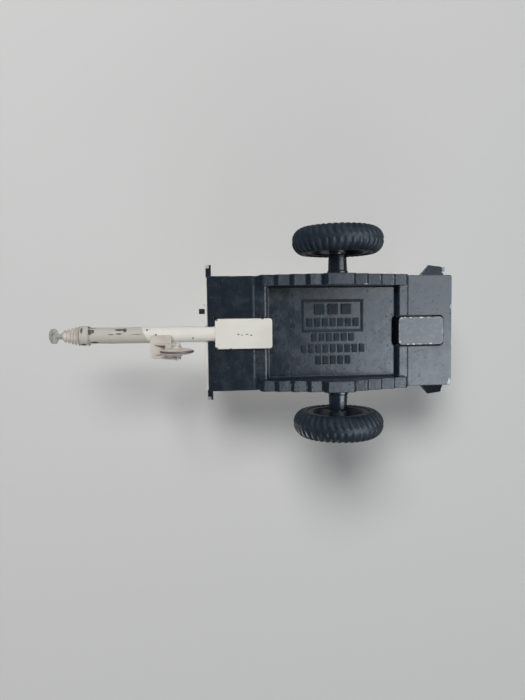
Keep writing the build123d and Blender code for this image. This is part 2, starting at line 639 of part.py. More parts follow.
# painted panel below the bar, in front of the pan
with BuildPart() as front_apron:
    with BuildSketch(cross_plane(PAN_FRONT)):
        with Locations((0, (APRON_BOTTOM_Z + BAR_BOTTOM_Z) / 2)):
            Rectangle(2 * APRON_HALF_WIDTH, BAR_BOTTOM_Z - APRON_BOTTOM_Z)
        with Locations((0, TUBE_Z)):
            Circle(TUBE_RADIUS + SADDLE_GAP, mode=Mode.SUBTRACT)
        with Locations((0, TUBE_Z - 1)):
            Rectangle(2 * (TUBE_RADIUS + SADDLE_GAP), 2, mode=Mode.SUBTRACT)
    extrude(amount=APRON_FRONT - PAN_FRONT)
front_apron.part.label = "front_apron"
export_step(front_apron.part, "parts/front_apron.step")

with BuildPart() as apron_rivets:
    with BuildSketch(cross_plane(APRON_FRONT)):
        with Locations((RIVET_Y, DRAIN_Z), (-RIVET_Y, DRAIN_Z)):
            Circle(RIVET_RADIUS)
    extrude(amount=RIVET_HEIGHT, taper=35)
apron_rivets.part.label = "apron_rivets"
export_step(apron_rivets.part, "parts/apron_rivets.step")

with BuildPart() as drain_stub:
    with BuildSketch(cross_plane(APRON_FRONT, DRAIN_Y, DRAIN_Z)):
        Circle(DRAIN_RADIUS)
    extrude(amount=DRAIN_LENGTH)
drain_stub.part.label = "drain_stub"
export_step(drain_stub.part, "parts/drain_stub.step")

# ---------------------------------------------------------------- tank and its fittings
tank_height = TANK_TOP_Z - PAN_RIM_Z

with BuildPart() as tank_body:
    with BuildSketch(cross_plane(TANK_REAR, z=PAN_RIM_Z + tank_height / 2)) as tank_section:
        Rectangle(TANK_WIDTH, tank_height)
        fillet(tank_section.vertices().group_by(Axis.Z)[-1], TANK_CORNER)
    extrude(amount=TANK_FRONT - TANK_REAR)
    end_faces = tank_body.faces().filter_by(Axis.X)
    end_edges = end_faces.edges().filter_by(lambda edge: edge.center().Z > PAN_RIM_Z + 0.1)
    fillet(end_edges, 0.9)
    # pressed bands round the shell
    band_top_z = TANK_TOP_Z + BAND_PROUD
    band_height = tank_height + BAND_PROUD - BAND_BOTTOM_GAP
    for station in BAND_STATIONS:
        with BuildSketch(cross_plane(station, z=band_top_z - band_height / 2)) as band_section:
            Rectangle(TANK_WIDTH + 2 * BAND_PROUD, band_height)
            fillet(band_section.vertices().group_by(Axis.Z)[-1], TANK_CORNER + BAND_PROUD)
        extrude(amount=BAND_WIDTH / 2, both=True)
    # hollow inside, open at the bottom onto the pan
    cavity_height = tank_height - TANK_WALL
    with BuildSketch(cross_plane(TANK_REAR + TANK_WALL, z=PAN_RIM_Z + cavity_height / 2)) as cavity:
        Rectangle(TANK_WIDTH - 2 * TANK_WALL, cavity_height)
        fillet(cavity.vertices().group_by(Axis.Z)[-1], TANK_CORNER - TANK_WALL)
    extrude(amount=TANK_FRONT - TANK_REAR - 2 * TANK_WALL, mode=Mode.SUBTRACT)
    # manhole collar and hinge ears on the roof
    with BuildSketch(level_plane(TANK_TOP_Z, MANHOLE_STATION)):
        Circle(MANHOLE_RADIUS)
        Circle(MANHOLE_RADIUS - COLLAR_WALL, mode=Mode.SUBTRACT)
    extrude(amount=MANHOLE_TOP_Z - TANK_TOP_Z)
    ear_inner = KNUCKLE_WIDTH / 2 + 0.1
    for _, side in SIDES:
        with BuildSketch(side_plane(side * ear_inner, MANHOLE_STATION + HINGE_OFFSET)):
            with Locations((0, HINGE_Z)):
                Circle(KNUCKLE_RADIUS)
            with Locations((0, (TANK_TOP_Z + HINGE_Z) / 2)):
                Rectangle(2 * KNUCKLE_RADIUS, HINGE_Z - TANK_TOP_Z)
            with Locations((0, HINGE_Z)):
                Circle(HINGE_PIN_RADIUS + SEAT_GAP, mode=Mode.SUBTRACT)
        extrude(amount=-side * 0.6)
tank_body.part.label = "tank_body"
export_step(tank_body.part, "parts/tank_body.step")

with BuildPart() as lid_pin:
    with BuildSketch(side_plane(ear_inner + 0.75, MANHOLE_STATION + HINGE_OFFSET, HINGE_Z)):
        Circle(HINGE_PIN_RADIUS)
    extrude(amount=2 * ear_inner + 1.5)
lid_pin.part.label = "lid_pin"
export_step(lid_pin.part, "parts/lid_pin.step")

with BuildPart() as manhole_lid:
    with BuildSketch(level_plane(MANHOLE_TOP_Z, MANHOLE_STATION)):
        Circle(LID_RADIUS)
    extrude(amount=LID_TOP_Z - MANHOLE_TOP_Z)
    fillet(manhole_lid.faces().sort_by(Axis.Z)[-1].edges(), 0.25)
    # arm and knuckle on the hinge pin
    with BuildSketch(side_plane(KNUCKLE_WIDTH / 2, MANHOLE_STATION)):
        with Locations(((LID_RADIUS - 0.6 + HINGE_OFFSET) / 2, (MANHOLE_TOP_Z + LID_TOP_Z) / 2)):
            Rectangle(HINGE_OFFSET - LID_RADIUS + 0.6, LID_TOP_Z - MANHOLE_TOP_Z)
        with Locations((HINGE_OFFSET, HINGE_Z)):
            Circle(KNUCKLE_RADIUS)
            Circle(HINGE_PIN_RADIUS + RUNNING_GAP, mode=Mode.SUBTRACT)
    extrude(amount=KNUCKLE_WIDTH)
    # grip across the lid
    with BuildSketch(level_plane(LID_TOP_Z - 0.1, MANHOLE_STATION)):
        RectangleRounded(0.6, 2.8, 0.25)
    extrude(amount=0.45)
manhole_lid.part.label = "manhole_lid"
export_step(manhole_lid.part, "parts/manhole_lid.step")

with BuildPart() as vent_cap:
    with BuildSketch(side_plane(0, VENT_STATION)):
        with BuildLine():
            Polyline(
                (0, TANK_TOP_Z),
                (0.75, TANK_TOP_Z),
                (0.75, TANK_TOP_Z + 0.8),
                (1.25, TANK_TOP_Z + 0.8),
                (1.25, TANK_TOP_Z + 1.05),
                (0.95, TANK_TOP_Z + 1.35),
                (0.4, TANK_TOP_Z + 1.5),
                (0, TANK_TOP_Z + 1.5),
                close=True,
            )
        make_face()
    revolve(axis=Axis(place(VENT_STATION), (0, 0, 1)))
vent_cap.part.label = "vent_cap"
export_step(vent_cap.part, "parts/vent_cap.step")

for name, side in SIDES:
    with BuildPart() as roof_rail:
        with BuildSketch(side_plane(side * RAIL_Y - RAIL_WIDTH / 2)):
            with Locations((0, ROOF_TOP_Z - 0.4)):
                Rectangle(RAIL_LENGTH, 0.8)
            with Locations((0, (TANK_TOP_Z + ROOF_TOP_Z - 0.4) / 2)):
                with GridLocations(RAIL_LENGTH / 2 - 1, 1, 3, 1):
                    Rectangle(1.4, ROOF_TOP_Z - 0.4 - TANK_TOP_Z)
        extrude(amount=-RAIL_WIDTH)
        chamfer(roof_rail.faces().sort_by(Axis.Z)[-1].edges(), 0.15)
    roof_rail.part.label = f"roof_rail_{name}"
    export_step(roof_rail.part, f"parts/roof_rail_{name}.step")

with BuildPart() as outlet_cap:
    with BuildSketch(side_plane(0, z=OUTLET_Z)):
        with BuildLine():
            Polyline(
                (TANK_REAR, 0),
                (TANK_REAR, 1.6),
                (TANK_REAR - 0.25, 1.6),
                (TANK_REAR - 0.25, 1.0),
                (TANK_REAR - 0.5, 1.0),
                (TANK_REAR - 0.5, 1.35),
                (REAR_TIP, 1.2),
                (REAR_TIP, 0),
                close=True,
            )
        make_face()
    revolve(axis=Axis(place(0, 0, OUTLET_Z), (1, 0, 0)))
outlet_cap.part.label = "outlet_cap"
export_step(outlet_cap.part, "parts/outlet_cap.step")
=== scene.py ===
import math

import bmesh
import bpy
from mathutils import Matrix, Vector


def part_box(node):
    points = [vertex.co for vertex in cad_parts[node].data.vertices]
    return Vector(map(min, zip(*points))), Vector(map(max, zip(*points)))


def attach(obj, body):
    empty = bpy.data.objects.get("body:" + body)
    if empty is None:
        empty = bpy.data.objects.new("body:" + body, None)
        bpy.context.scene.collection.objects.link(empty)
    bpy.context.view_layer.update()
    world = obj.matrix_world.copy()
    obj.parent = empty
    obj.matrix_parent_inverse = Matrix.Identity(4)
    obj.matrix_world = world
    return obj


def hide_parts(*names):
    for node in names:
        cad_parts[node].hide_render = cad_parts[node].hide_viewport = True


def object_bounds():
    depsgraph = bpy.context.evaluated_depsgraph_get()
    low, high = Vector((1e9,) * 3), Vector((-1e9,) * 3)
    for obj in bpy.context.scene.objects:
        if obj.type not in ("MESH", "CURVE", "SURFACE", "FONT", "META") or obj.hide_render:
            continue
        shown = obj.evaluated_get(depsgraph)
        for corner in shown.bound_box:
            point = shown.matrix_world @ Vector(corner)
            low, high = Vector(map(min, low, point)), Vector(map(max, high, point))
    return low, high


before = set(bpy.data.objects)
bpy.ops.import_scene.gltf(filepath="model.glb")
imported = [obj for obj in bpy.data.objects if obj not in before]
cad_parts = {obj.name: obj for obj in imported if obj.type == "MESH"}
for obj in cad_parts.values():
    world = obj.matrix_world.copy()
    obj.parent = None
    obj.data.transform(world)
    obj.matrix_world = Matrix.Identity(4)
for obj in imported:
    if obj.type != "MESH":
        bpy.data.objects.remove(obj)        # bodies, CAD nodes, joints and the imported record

# Die-cast 1:50 tank trailer. The frame is the CAD's: +X to the tow eye, +Y left, +Z up, in metres.
# Tables of places give a station, which is millimetres ahead of the road wheels' axle.
MM = 0.001
cad_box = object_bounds()
scene = bpy.context.scene


# ---------------------------------------------------------------- places read from the frame
def middle(node):
    """Centre of a CAD node's box."""
    low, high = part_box(node)
    return (low + high) / 2


AXLE = middle("tyre_left").x
TYRE_LOW, TYRE_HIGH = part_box("tyre_left")
WHEEL_RADIUS = (TYRE_HIGH.z - TYRE_LOW.z) / 2
TYRE_WIDTH = TYRE_HIGH.y - TYRE_LOW.y
TABLE_Z = cad_box[1].z


# ---------------------------------------------------------------- shader building
class Shader:
    """One procedural material, built up call by call. Lengths are in millimetres."""

    def __init__(self, name, **sockets):
        self.material = bpy.data.materials.new(name)
        self.material.use_nodes = True
        self.tree = self.material.node_tree
        self.tree.nodes.clear()
        self.surface = self.node("ShaderNodeBsdfPrincipled")
        output = self.node("ShaderNodeOutputMaterial")
        self.tree.links.new(self.surface.outputs[0], output.inputs["Surface"])
        self.position = self.node("ShaderNodeTexCoord").outputs["Object"]
        for socket, value in sockets.items():
            self.put(self.surface.inputs[socket.replace("_", " ")], value)

    def node(self, kind, **settings):
        made = self.tree.nodes.new(kind)
        for setting, value in settings.items():
            setattr(made, setting, value)
        return made

    def put(self, socket, value):
        """Links a socket, or sets it to a plain number or colour."""
        if isinstance(value, bpy.types.NodeSocket):
            self.tree.links.new(value, socket)
        elif isinstance(value, (tuple, list)) and socket.type == "RGBA":
            socket.default_value = (*value, 1.0)
        else:
            socket.default_value = value

    def maths(self, operation, a, b=0.0, c=None):
        made = self.node("ShaderNodeMath", operation=operation)
        self.put(made.inputs[0], a)
        self.put(made.inputs[1], b)
        if c is not None:
            self.put(made.inputs[2], c)
        return made.outputs[0]

    def vector(self, operation, a, b, output=0):
        made = self.node("ShaderNodeVectorMath", operation=operation)
        self.put(made.inputs[0], a)
        self.put(made.inputs[1], b)
        return made.outputs[output]

    def noise(self, size, detail=3.0, rough=0.55, stretch=(1, 1, 1), shift=0.0):
        """Fractal noise whose grains are about size millimetres, drawn out by stretch."""
        scale = [1 / (size * MM * s) for s in stretch]
        moved = self.vector("MULTIPLY", self.position, tuple(scale))
        moved = self.vector("ADD", moved, (shift, 2 * shift, 3 * shift))
        made = self.node("ShaderNodeTexNoise")
        self.put(made.inputs["Vector"], moved)
        self.put(made.inputs["Scale"], 1.0)
        self.put(made.inputs["Detail"], detail)
        self.put(made.inputs["Roughness"], rough)
        return made.outputs["Fac"]

    def step(self, value, low, high, to_low=0.0, to_high=1.0):
        """A smooth step from low to high."""
        made = self.node("ShaderNodeMapRange", interpolation_type="SMOOTHSTEP")
        for socket, number in zip(made.inputs, (value, low, high, to_low, to_high)):
            self.put(socket, number)
        return made.outputs[0]

    def mix(self, share, a, b):
        """Colour a turning into colour b."""
        made = self.node("ShaderNodeMix", data_type="RGBA")
        colours = [socket for socket in made.inputs if socket.type == "RGBA"]
        self.put(made.inputs[0], share)
        self.put(colours[0], a)
        self.put(colours[1], b)
        return [socket for socket in made.outputs if socket.type == "RGBA"][0]

    def rounded(self, radius):
        """The surface normal with its edges rounded off to a radius."""
        made = self.node("ShaderNodeBevel", samples=4)
        self.put(made.inputs["Radius"], radius * MM)
        return made.outputs["Normal"]

    def edges(self, radius, low, high):
        """1 on sharp edges, within about a radius of them."""
        flat = self.node("ShaderNodeNewGeometry").outputs["Normal"]
        turned = self.vector("DOT_PRODUCT", self.rounded(radius), flat, output=1)
        return self.step(turned, high, low)

    def spot(self, centre, size, edge_noise, softness=0.25):
        """1 inside a ragged blob: centre in the frame, half sizes in millimetres."""
        away = self.vector("SUBTRACT", self.position, tuple(centre))
        away = self.vector("DIVIDE", away, tuple(s * MM for s in size))
        distance = self.node("ShaderNodeVectorMath", operation="LENGTH")
        self.put(distance.inputs[0], away)
        ragged = self.maths("MULTIPLY_ADD", edge_noise, 1.3, -0.65)
        reach = self.maths("ADD", distance.outputs[1], ragged)
        return self.step(reach, 1.0, 1.0 - softness)

    def most(self, *masks):
        """The largest of several masks."""
        result = masks[0]
        for mask in masks[1:]:
            result = self.maths("MAXIMUM", result, mask)
        return result

    def bump(self, height, depth, normal=None):
        """Bump from a 0 to 1 height, depth in millimetres."""
        made = self.node("ShaderNodeBump")
        self.put(made.inputs["Strength"], 1.0)
        self.put(made.inputs["Distance"], depth * MM)
        self.put(made.inputs["Height"], height)
        if normal is not None:
            self.put(made.inputs["Normal"], normal)
        return made.outputs["Normal"]

    def finish(self, colour, roughness, normal, metallic=None):
        self.put(self.surface.inputs["Base Color"], colour)
        self.put(self.surface.inputs["Roughness"], roughness)
        self.put(self.surface.inputs["Normal"], normal)
        if metallic is not None:
            self.put(self.surface.inputs["Metallic"], metallic)
        return self.material


# ---------------------------------------------------------------- materials
BARE_METAL = (0.42, 0.44, 0.46)
BRIGHT_METAL = (0.70, 0.72, 0.74)
RAISED_BLUR = 0.03           # softness of the raised band's limits, in millimetres


def black_enamel(name, wear=0.5, edge_radius=0.16, worn_and_highlit_places=(), bare_and_highlit_spots=(), raised=None):
    """Glossy black enamel with orange peel, dust, pits, rubbed edges and a painted highlight along
    the edges. The two place tables are (station, y, z, half sizes): where the edges are rubbed
    bright, wear and painted highlight together, and where the enamel is knocked off or painted
    bright as a highlight. raised is a (low, high) band of heights whose faces are duller."""
    s = Shader(name, Specular_IOR_Level=0.5)
    cloud = s.noise(6.0, 4)
    smudge = s.noise(2.4, 4, 0.6, shift=6.0)
    grain = s.noise(0.25, 2, shift=3.0)
    pits = s.step(s.noise(0.5, 2, shift=9.0), 0.66, 0.73)
    edge = s.edges(edge_radius, 0.86, 0.985)
    ragged = s.noise(0.42, 4, 0.7, shift=8.0)
    # Rubbed edges: bare metal from wear, which also stands as painted highlight along the edges.
    strength = wear
    for station, y, z, size in worn_and_highlit_places:
        area = s.spot((AXLE + station * MM, y * MM, z * MM), size, smudge, 0.6)
        strength = s.maths("MAXIMUM", strength, area)
    threshold = s.maths("MULTIPLY_ADD", strength, -0.16, 0.64)
    rubbed_and_highlit = s.step(s.noise(0.8, 4, 0.65, shift=5.0), threshold, s.maths("ADD", threshold, 0.08))
    rubbed_and_highlit = s.maths("MULTIPLY", s.maths("MULTIPLY", edge, rubbed_and_highlit), strength)
    # Bare-metal spots: some are chips, and those on the spring leaves are painted highlights.
    for station, y, z, size in bare_and_highlit_spots:
        spot = s.spot((AXLE + station * MM, y * MM, z * MM), size, ragged)
        rubbed_and_highlit = s.most(rubbed_and_highlit, spot)
    base = s.mix(cloud, (0.0035, 0.0085, 0.0165), (0.0075, 0.0150, 0.0270))
    dust = s.step(s.noise(0.45, 3, 0.7, shift=1.0), 0.64, 0.76, 0.0, 0.22)
    colour = s.mix(dust, base, (0.035, 0.042, 0.052))
    # Painted highlight: every edge is lightened towards blue-grey.
    colour = s.mix(s.maths("MULTIPLY", edge, 0.5), colour, (0.060, 0.072, 0.094))
    colour = s.mix(rubbed_and_highlit, colour, BARE_METAL)
    gloss = s.step(smudge, 0.35, 0.68, 0.17, 0.30)
    gloss = s.maths("ADD", gloss, s.maths("MULTIPLY", dust, 0.4))
    if raised is not None:
        parts = s.node("ShaderNodeSeparateXYZ")
        s.put(parts.inputs[0], s.position)
        low, high = raised
        above = s.step(parts.outputs["Z"], (low - RAISED_BLUR) * MM, low * MM)
        below = s.step(parts.outputs["Z"], high * MM, (high + RAISED_BLUR) * MM, 1.0, 0.0)
        gloss = s.maths("MULTIPLY_ADD", s.maths("MULTIPLY", above, below), 0.6, gloss)
    peel = s.maths("MULTIPLY_ADD", grain, 0.55, s.noise(1.1, 2, shift=7.0))
    height = s.maths("SUBTRACT", peel, s.maths("MULTIPLY", pits, 1.5))
    return s.finish(colour, gloss, s.bump(height, 0.021, s.rounded(edge_radius)))


def worn_lug():
    """Black enamel rubbed thin to mottled grey on its face, with bright nicks along the edges."""
    s = Shader("lug_worn", Specular_IOR_Level=0.6)
    cloud = s.noise(1.6, 5, 0.6)
    blotch = s.step(s.noise(0.75, 4, 0.7, shift=11.0), 0.50, 0.66)
    edge = s.edges(0.36, 0.93, 0.993)
    bright = s.maths("MULTIPLY", edge, s.step(s.noise(0.7, 3, 0.6, shift=2.0), 0.47, 0.56))
    low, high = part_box("rear_lug")
    ragged = s.noise(0.3, 4, 0.7, shift=8.0)
    for back, y, half_length in LUG_NICKS:
        place = (high.x - back * MM, y * MM, low.z)
        bright = s.most(bright, s.spot(place, (half_length, 0.13, 0.4), ragged))
    parts = s.node("ShaderNodeSeparateXYZ")
    s.put(parts.inputs[0], s.node("ShaderNodeTexCoord").outputs["Normal"])
    face = s.step(s.maths("MULTIPLY", parts.outputs["Z"], -1.0), 0.35, 0.7)
    colour = s.mix(s.step(cloud, 0.3, 0.7), (0.036, 0.045, 0.055), (0.078, 0.090, 0.103))
    colour = s.mix(s.maths("MULTIPLY", blotch, 0.6), colour, (0.15, 0.163, 0.178))
    colour = s.mix(face, (0.006, 0.011, 0.018), colour)
    colour = s.mix(s.maths("MULTIPLY", bright, face), colour, BRIGHT_METAL)
    gloss = s.step(cloud, 0.35, 0.65, 0.34, 0.46)
    height = s.noise(0.35, 3, 0.6, shift=4.0)
    return s.finish(colour, gloss, s.bump(height, 0.03, s.rounded(0.16)))


def cream_enamel(name, chips=(), edge_radius=0.16, wear=0.4, shadow_from=None):
    """Satin cream enamel. chips are (station, y, z, half sizes) places where it is knocked off.
    Ahead of a slanting line through the station given, a painted shadow darkens the paint."""
    s = Shader(name, Specular_IOR_Level=0.45)
    cloud = s.noise(4.0, 4)
    fine = s.noise(0.22, 2, shift=2.0)
    ragged = s.noise(0.42, 4, 0.7, shift=8.0)
    edge = s.edges(edge_radius, 0.93, 0.995)
    knocked = s.step(s.noise(1.1, 4, 0.65, shift=6.0), 0.72 - 0.2 * wear, 0.76 - 0.2 * wear)
    knocked = s.maths("MULTIPLY", edge, knocked)
    for station, y, z, size in chips:
        spot = s.spot((AXLE + station * MM, y * MM, z * MM), size, ragged)
        knocked = s.most(knocked, spot)
    speck = s.step(s.noise(0.5, 2, shift=12.0), 0.735, 0.76, 0.0, 0.8)
    colour = s.mix(cloud, (0.735, 0.715, 0.655), (0.80, 0.78, 0.72))
    grime = s.step(s.noise(9.0, 3, shift=4.0), 0.5, 0.75, 0.0, 0.4)
    colour = s.mix(grime, colour, (0.60, 0.54, 0.45))
    # Painted shadow: ahead of a slanting line across the drawbar the cream is darkened.
    if shadow_from is not None:
        parts = s.node("ShaderNodeSeparateXYZ")
        s.put(parts.inputs[0], s.position)
        slant = s.maths("MULTIPLY_ADD", parts.outputs["Y"], -0.5, parts.outputs["X"])
        start = AXLE + shadow_from * MM
        painted_shadow = s.step(slant, start, start + 0.5 * MM, 0.0, 0.75)
        colour = s.mix(painted_shadow, colour, (0.46, 0.435, 0.385))
    colour = s.mix(speck, colour, (0.22, 0.19, 0.16))
    colour = s.mix(knocked, colour, (0.10, 0.10, 0.095))
    gloss = s.step(cloud, 0.3, 0.7, 0.30, 0.42)
    gloss = s.maths("MULTIPLY_ADD", knocked, 0.25, gloss)
    height = s.maths("SUBTRACT", fine, s.maths("MULTIPLY", knocked, 1.6))
    return s.finish(colour, gloss, s.bump(height, 0.015, s.rounded(edge_radius)))


def moulded(name, low, high, roughness, grain=0.2, depth=0.012, edge_radius=0.08, specular=0.5):
    """Moulded plastic or rubber: two tones, a fine grain and rubbed edges."""
    s = Shader(name, Specular_IOR_Level=specular)
    cloud = s.noise(2.2, 4)
    colour = s.mix(s.step(cloud, 0.3, 0.7), low, high)
    edge = s.edges(edge_radius, 0.92, 0.995)
    lighter = tuple(min(1.0, 1.35 * c + 0.02) for c in high)
    colour = s.mix(s.maths("MULTIPLY", edge, 0.5), colour, lighter)
    gloss = s.step(cloud, 0.25, 0.75, roughness - 0.06, roughness + 0.06)
    height = s.noise(grain, 3, 0.6, shift=3.0)
    return s.finish(colour, gloss, s.bump(height, depth, s.rounded(edge_radius)))


def metal(name, colour_low, colour_high, roughness, grain=0.2, depth=0.01, metallic=1.0):
    """Bare metal, cast or drawn, with stains."""
    s = Shader(name, Metallic=metallic)
    cloud = s.noise(0.9, 5, 0.65)
    colour = s.mix(s.step(cloud, 0.35, 0.68), colour_low, colour_high)
    gloss = s.step(cloud, 0.3, 0.7, roughness + 0.1, roughness - 0.05)
    height = s.noise(grain, 3, 0.6, shift=3.0)
    return s.finish(colour, gloss, s.bump(height, depth, s.rounded(0.05)))


def lens(name, colour, deep, faces):
    """A moulded lamp: a clear lens on the side facing along X, by the sign of faces, and black
    elsewhere."""
    s = Shader(name, Specular_IOR_Level=0.6, Coat_Weight=0.6, Coat_Roughness=0.1)
    tone = s.mix(s.noise(0.5, 3), deep, colour)
    parts = s.node("ShaderNodeSeparateXYZ")
    s.put(parts.inputs[0], s.node("ShaderNodeTexCoord").outputs["Normal"])
    front = s.step(s.maths("MULTIPLY", parts.outputs["X"], faces), 0.6, 0.8)
    tone = s.mix(front, s.mix(s.noise(0.8, 3), (0.02, 0.023, 0.027), (0.05, 0.055, 0.06)), tone)
    ribs = s.noise(0.3, 1, stretch=(1, 1, 0.25))
    return s.finish(tone, s.step(ribs, 0.3, 0.7, 0.15, 0.3), s.bump(ribs, 0.03, s.rounded(0.06)))


LUG_NICKS = (                # bright nicks: (millimetres back from the front, y, half length)
    (0.5, 2.50, 0.30),
    (1.3, 2.58, 0.16),
    (2.4, 2.56, 0.20),
    (4.5, 2.54, 0.42),
    (5.9, 2.56, 0.18),
    (0.3, -2.05, 0.16),
    (1.9, -2.58, 0.20),
    (3.0, -2.56, 0.34),
    (4.4, -2.58, 0.24),
    (6.4, -2.50, 0.30),
)

DRAWBAR_CHIPS = (            # (station, y, z, half sizes in millimetres)
    (21.85, 2.6, 11.6, (0.28, 0.24, 0.5)),
    (44.6, 0.75, 12.1, (0.38, 0.62, 0.6)),
    (44.1, 0.95, 12.1, (0.30, 0.50, 0.6)),
    (44.9, 1.50, 13.0, (1.90, 0.16, 0.7)),
    (39.4, 1.05, 12.3, (0.85, 0.26, 0.6)),
    (38.5, 0.95, 12.3, (0.45, 0.48, 0.6)),
    (40.9, 0.24, 12.0, (0.70, 0.09, 0.5)),
    (39.5, 0.32, 12.0, (0.70, 0.14, 0.5)),
    (43.8, -1.12, 12.5, (0.75, 0.20, 0.6)),
    (36.3, 0.20, 12.0, (1.50, 0.05, 0.5)),
    (46.0, 1.10, 11.8, (0.22, 0.75, 0.8)),
    (45.8, -1.50, 12.5, (0.60, 0.22, 0.9)),
    (34.5, 0.95, 12.2, (0.20, 0.20, 0.4)),
    (32.9, 0.05, 12.0, (0.20, 0.20, 0.4)),
    (26.2, -0.65, 12.0, (0.20, 0.18, 0.4)),
    (17.9, -0.10, 11.6, (0.26, 0.13, 0.3)),
    (17.2, -0.22, 11.6, (0.30, 0.08, 0.3)),
    (16.3, -0.12, 11.6, (0.32, 0.10, 0.3)),
    (15.5, -0.28, 11.6, (0.24, 0.11, 0.3)),
    (21.95, -2.60, 11.6, (0.35, 0.20, 0.5)),
    (13.4, 2.72, 11.6, (0.30, 0.12, 0.4)),
    (19.3, -2.75, 11.6, (0.22, 0.10, 0.4)),
)

SHADOW_FROM = 34.6             # station where the painted shadow on the drawbar begins

LETTERING = (13.25, 13.40)   # heights of the raised faces in the recess, in millimetres
PAN_BARE_AND_HIGHLIT_SPOTS = (                # bare places on the pan's underside, in the same terms; the last four, on the spring leaves, are painted highlights
    (-23.35, -10.1, 12.45, (0.42, 0.75, 0.6)),
    (-23.0, 11.3, 15.0, (0.42, 0.34, 0.6)),
    (-23.5, 4.6, 12.45, (0.12, 0.55, 0.3)),
    # painted highlights on the spring leaves' ends and edges, in bare-metal colour
    (-3.1, 9.4, 6.6, (0.12, 0.75, 0.5)),
    (-5.95, 9.7, 8.0, (0.10, 0.85, 0.5)),
    (-5.3, 8.8, 8.0, (0.55, 0.10, 0.4)),
    (-14.2, 10.4, 10.4, (0.18, 0.22, 0.5)),
)

PAN_RUBBED_AND_HIGHLIT = (                 # where the pan's edges are rubbed bright, with painted highlight, in the same terms
    (-9.0, 9.6, 10.5, (7.5, 1.8, 5.0)),
    (-8.0, -9.6, 10.5, (7.0, 1.8, 5.0)),
    (7.0, -9.6, 10.5, (6.0, 1.8, 5.0)),
    (-23.6, 0.0, 12.6, (0.9, 11.5, 2.0)),
    (12.7, 5.6, 12.9, (0.6, 3.0, 1.2)),
    (12.7, -5.0, 12.9, (0.6, 3.4, 1.2)),
    (20.0, 10.6, 12.6, (3.6, 0.5, 1.0)),
)

MATERIALS = {
    "belly_pan": black_enamel("pan_enamel", 0.3, 0.28, PAN_RUBBED_AND_HIGHLIT, PAN_BARE_AND_HIGHLIT_SPOTS, LETTERING),
    "black": black_enamel("part_enamel", 0.35),
    "lug": worn_lug(),
    "drawbar": cream_enamel("drawbar_enamel", DRAWBAR_CHIPS, wear=0.5, shadow_from=SHADOW_FROM),
    "tank": cream_enamel("tank_enamel", wear=0.25, edge_radius=0.22),
    "bracket": moulded("bracket_plastic", (0.54, 0.49, 0.44), (0.64, 0.59, 0.53), 0.40),
    # Painted shade: the thin ring between the jockey wheel's halves is coloured dark for the
    # shadowed gap.
    "jockey_painted_shade": moulded("seam_painted_shade", (0.10, 0.07, 0.075), (0.20, 0.15, 0.15), 0.5),
    "rim": moulded(
        "rim_plastic", (0.008, 0.010, 0.014), (0.018, 0.022, 0.028), 0.45, specular=0.3
    ),
    "black_plastic": moulded("fitting_plastic", (0.012, 0.014, 0.017), (0.022, 0.025, 0.03), 0.4),
    "rubber": moulded(
        "tyre_rubber", (0.009, 0.016, 0.024), (0.019, 0.029, 0.041), 0.5, 0.25, 0.02, specular=0.3
    ),
    "gaiter": moulded("gaiter_rubber", (0.42, 0.36, 0.31), (0.66, 0.60, 0.54), 0.5),
    "zinc": metal("dull_zinc", (0.36, 0.37, 0.33), (0.60, 0.61, 0.56), 0.42, metallic=0.25),
    "steel": metal("pin_steel", (0.30, 0.29, 0.28), (0.60, 0.60, 0.60), 0.3),
    "lamp_white": moulded("lens_white", (0.42, 0.42, 0.40), (0.62, 0.62, 0.58), 0.25),
    "lamp_red": lens("lens_red", (0.42, 0.015, 0.012), (0.20, 0.006, 0.006), -1.0),
}

NODE_MATERIALS = {
    "belly_pan": "belly_pan",
    "axle_stub_left": "black",
    "axle_stub_right": "black",
    "wheel_pin_left": "steel",
    "wheel_pin_right": "steel",
    "rim_left": "rim",
    "rim_right": "rim",
    "tyre_left": "rubber",
    "tyre_right": "rubber",
    "drawbar": "drawbar",
    "rear_lug": "lug",
    "gaiter": "gaiter",
    "tow_eye": "zinc",
    "jockey_bracket": "bracket",
    "jockey_leg": "bracket",
    "jockey_fork": "bracket",
    "jockey_pin": "steel",
    "jockey_disc": "bracket",
    # dark ring: painted shade of the gap in the jockey wheel
    "jockey_tyre": "jockey_painted_shade",
    "front_bar": "black",
    "marker_lamp_left": "lamp_white",
    "marker_lamp_right": "lamp_white",
    "tail_lamp_left": "lamp_red",
    "tail_lamp_right": "lamp_red",
    "front_apron": "tank",
    "apron_rivets": "tank",
    "drain_stub": "black_plastic",
    "tank_body": "tank",
    "lid_pin": "steel",
    "manhole_lid": "tank",
    "vent_cap": "black_plastic",
    "roof_rail_left": "black_plastic",
    "roof_rail_right": "black_plastic",
    "outlet_cap": "black_plastic",
}


def paint(obj, material):
    """Gives an object one material."""
    obj.data.materials.clear()
    obj.data.materials.append(material)


for node, key in NODE_MATERIALS.items():
    paint(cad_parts[node], MATERIALS[key])


